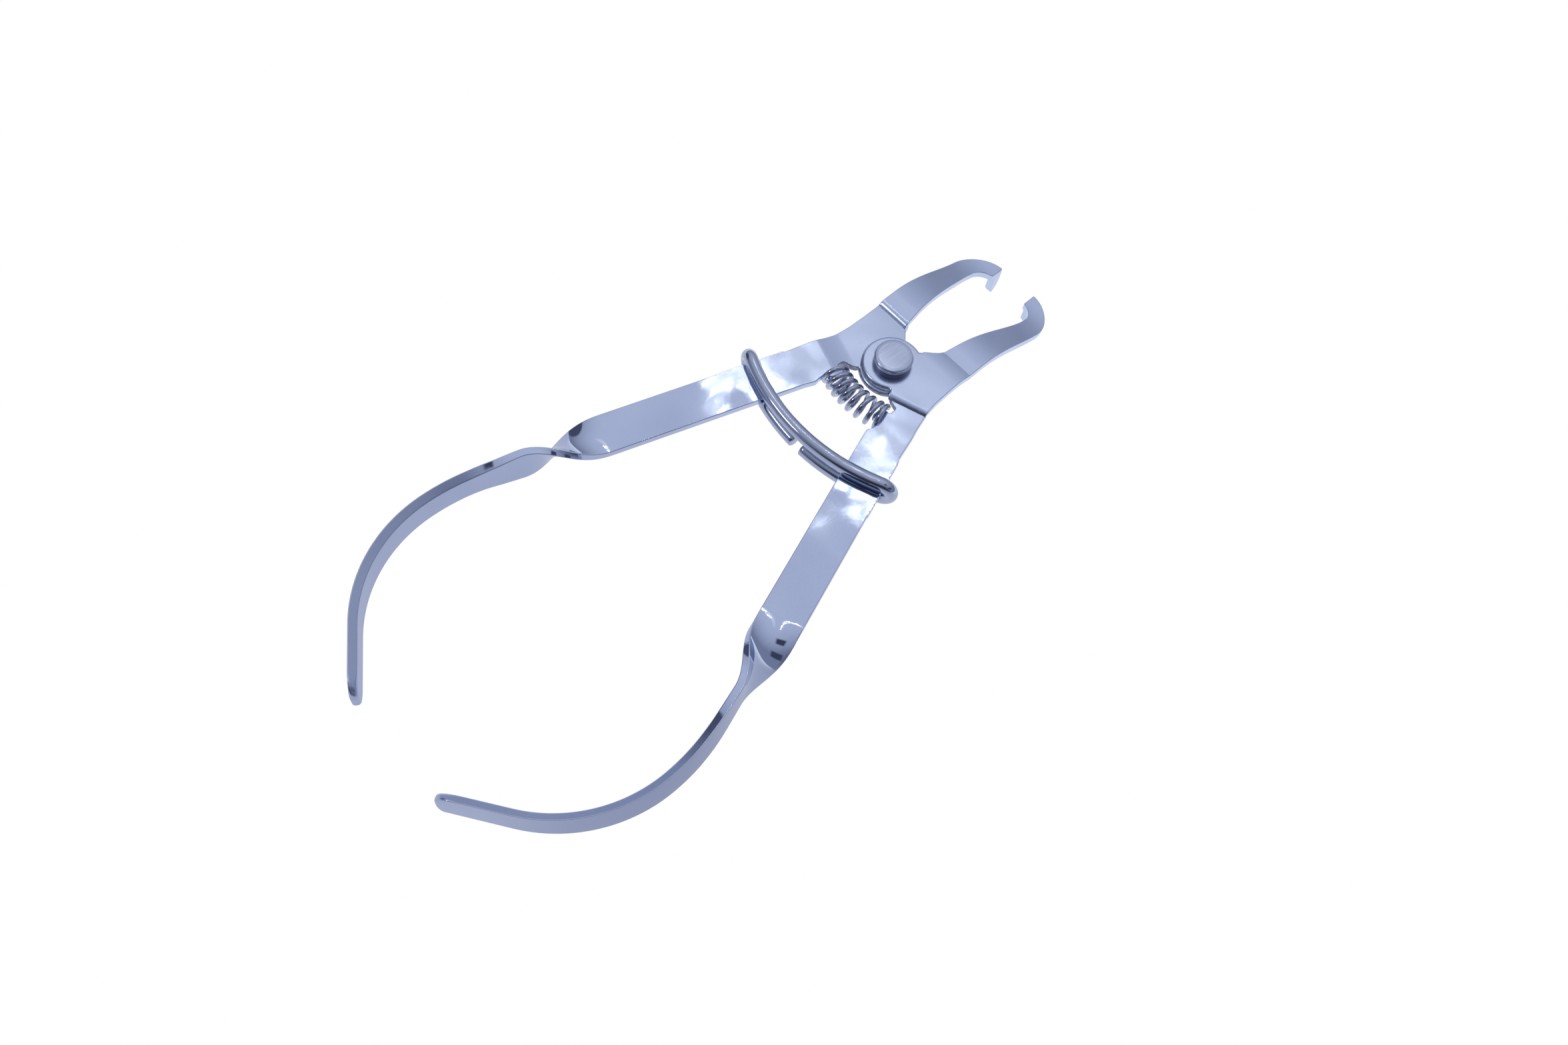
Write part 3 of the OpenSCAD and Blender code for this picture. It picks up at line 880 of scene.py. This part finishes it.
# ---------------------------------------------------------------- floor, light and camera
def stage_floor():
    """White sheet that touches both prong tips and the two grips, so it leans a little.

    The camera sees it white; the steel reflects it greyer, and graded from jaws to handles.
    """
    below = 0.05
    tip = Vector((41.3, 0, LAP_Z - JAW_DROP + HALF_T - PRONG_LEN - below))
    heel = Vector((-78.5, 0, LAP_Z - HALF_W - below))
    slope = math.atan2(heel.z - tip.z, tip.x - heel.x)
    bpy.ops.mesh.primitive_plane_add(size=30.0)
    ob = bpy.context.object
    ob.name = "floor"
    ob.rotation_euler = (0, slope, 0)
    ob.location = heel * MM
    m = bpy.data.materials.new("white_sheet")
    m.use_nodes = True
    nt = m.node_tree
    nt.nodes.clear()
    out = nt.nodes.new("ShaderNodeOutputMaterial")
    em = nt.nodes.new("ShaderNodeEmission")
    path = nt.nodes.new("ShaderNodeLightPath")
    tc = nt.nodes.new("ShaderNodeTexCoord")
    sep = nt.nodes.new("ShaderNodeSeparateXYZ")
    link(nt, tc.outputs["Object"], sep.inputs[0])
    near_jaws = remap(nt, sep.outputs["X"], 0.0, 0.09, 0.0, 1.0)
    between = remap(nt, sep.outputs["Y"], -0.045, -0.02, 0.0, 1.0)
    handles = mix_color(nt, between, (0.37, 0.39, 0.49), (0.53, 0.55, 0.66))
    seen = mix_color(nt, near_jaws, handles, (0.86, 0.89, 0.97))
    link(nt, mix_color(nt, path.outputs["Is Camera Ray"], seen, (1.0, 1.0, 1.0)), em.inputs["Color"])
    em.inputs["Strength"].default_value = 1.0
    # seen from below, the sheet is clear, so that the underside of the tool can be looked at
    under = nt.nodes.new("ShaderNodeNewGeometry")
    clear = nt.nodes.new("ShaderNodeBsdfTransparent")
    both = nt.nodes.new("ShaderNodeMixShader")
    link(nt, under.outputs["Backfacing"], both.inputs[0])
    link(nt, em.outputs[0], both.inputs[1])
    link(nt, clear.outputs[0], both.inputs[2])
    link(nt, both.outputs[0], out.inputs["Surface"])
    ob.data.materials.append(m)


stage_floor()


def world():
    """Soft studio room that the steel reflects: pale ceiling, mid-toned walls ahead, dim behind.

    The camera itself sees plain pale.
    """
    w = bpy.data.worlds.new("room")
    bpy.context.scene.world = w
    w.use_nodes = True
    nt = w.node_tree
    nt.nodes.clear()
    out = nt.nodes.new("ShaderNodeOutputWorld")
    bg = nt.nodes.new("ShaderNodeBackground")
    tc = nt.nodes.new("ShaderNodeTexCoord")
    direction = tc.outputs["Generated"]

    def towards(v, lo, hi):
        """1 within the inner cone round direction v, fading to 0 at the outer one (cosines hi and lo)."""
        n = nt.nodes.new("ShaderNodeVectorMath")
        n.operation = "DOT_PRODUCT"
        link(nt, direction, n.inputs[0])
        n.inputs[1].default_value = Vector(v).normalized()
        return remap(nt, n.outputs["Value"], lo, hi, 0.0, 1.0)

    def window(value, a, b, c, d):
        """Rises from 0 to 1 between a and b, falls back between c and d."""
        return math_node(nt, "MULTIPLY", remap(nt, value, a, b, 0.0, 1.0),
                         remap(nt, value, c, d, 1.0, 0.0))

    sep = nt.nodes.new("ShaderNodeSeparateXYZ")
    link(nt, direction, sep.inputs[0])
    high = math_node(nt, "MAXIMUM", sep.outputs["Z"], 0.06)
    q = math_node(nt, "DIVIDE", sep.outputs["X"], high)
    r = math_node(nt, "DIVIDE", sep.outputs["Y"], high)
    ceiling = towards((0.40, 0.25, 1.0), 0.40, 0.99)
    tone = mix_color(nt, ceiling, (0.25, 0.275, 0.37), (0.60, 0.63, 0.74))
    # a bright panel overhead
    panel = math_node(nt, "MULTIPLY", window(q, 0.40, 0.45, 0.475, 0.53),
                      window(r, 0.0, 0.2, 0.45, 0.7))
    tone = mix_color(nt, panel, tone, (0.84, 0.86, 0.92))
    # dark parts of the room
    for v, lo, hi, dark in (((-1.0, -0.6, 0.10), 0.64, 0.80, (0.05, 0.055, 0.08)),
                            ((-0.2, 1.0, 0.30), 0.93, 0.95, (0.08, 0.09, 0.14))):
        tone = mix_color(nt, towards(v, lo, hi), tone, dark)
    # two dark flats beside the table, seen as dark shapes in the polished twists
    for xs, rs in (((-0.12, -0.06, 0.22, 0.32), (-0.64, -0.57, -0.36, -0.30)),
                   ((-0.25, -0.15, 0.30, 0.42), (-2.5, -2.2, -1.35, -1.2))):
        flat = math_node(nt, "MULTIPLY", window(sep.outputs["X"], *xs), window(r, *rs))
        tone = mix_color(nt, flat, tone, (0.06, 0.065, 0.11))
    path = nt.nodes.new("ShaderNodeLightPath")
    link(nt, mix_color(nt, path.outputs["Is Camera Ray"], tone, (0.93, 0.94, 0.96)), bg.inputs["Color"])
    bg.inputs["Strength"].default_value = 1.0
    nt.links.new(bg.outputs[0], out.inputs["Surface"])


world()


def softbox(name, at, aim, size, power):
    """Rectangular area light at a place in metres, turned towards another."""
    light = bpy.data.lights.new(name, "AREA")
    light.shape = "RECTANGLE"
    light.size, light.size_y = size
    light.energy = power
    ob = bpy.data.objects.new(name, light)
    bpy.context.scene.collection.objects.link(ob)
    ob.location = at
    ob.rotation_euler = (Vector(aim) - Vector(at)).to_track_quat("-Z", "Y").to_euler()


AIM = (0, 0, 0)
LAMP_Z = 0.42
LAMP_SIZE = (0.004, 0.004)
LAMP_WATTS = 0.0011
softbox("key_back", (-0.42, 0.30, 0.50), AIM, (0.16, 0.08), 0.35)
# small lamps whose reflections make the rows of highlight dots
for i in range(3):
    for j in range(7):
        softbox(f"lamp_{i}_{j}", (0.146 + 0.016 * i, 0.084 + 0.020 * j + 0.006 * i, LAMP_Z), AIM,
                LAMP_SIZE, LAMP_WATTS)
for i in range(8):
    softbox(f"row_{i}", (0.045, -0.02 + 0.014 * i, LAMP_Z), AIM, LAMP_SIZE, LAMP_WATTS)

# place, heading and lens come from the camera fitted to the photograph
cam_data = bpy.data.cameras.new("camera")
cam_data.lens = 30.3
cam_data.sensor_width = 36.0
cam_data.clip_start = 0.01
cam_data.clip_end = 20
cam = bpy.data.objects.new("camera", cam_data)
bpy.context.scene.collection.objects.link(cam)
RIGHT = Vector((0.7299, -0.6804, 0.0656)).normalized()
FORWARD = Vector((0.3381, 0.2760, -0.8997)).normalized()
UP = RIGHT.cross(FORWARD).normalized()
rot = Matrix((RIGHT, UP, -FORWARD)).transposed().to_4x4()
cam.matrix_world = Matrix.Translation(Vector((-131.5, -84.6, 236.2 + LAP_Z + HALF_T)) * MM) @ rot
bpy.context.scene.camera = cam
bpy.context.scene.view_settings.view_transform = "Standard"
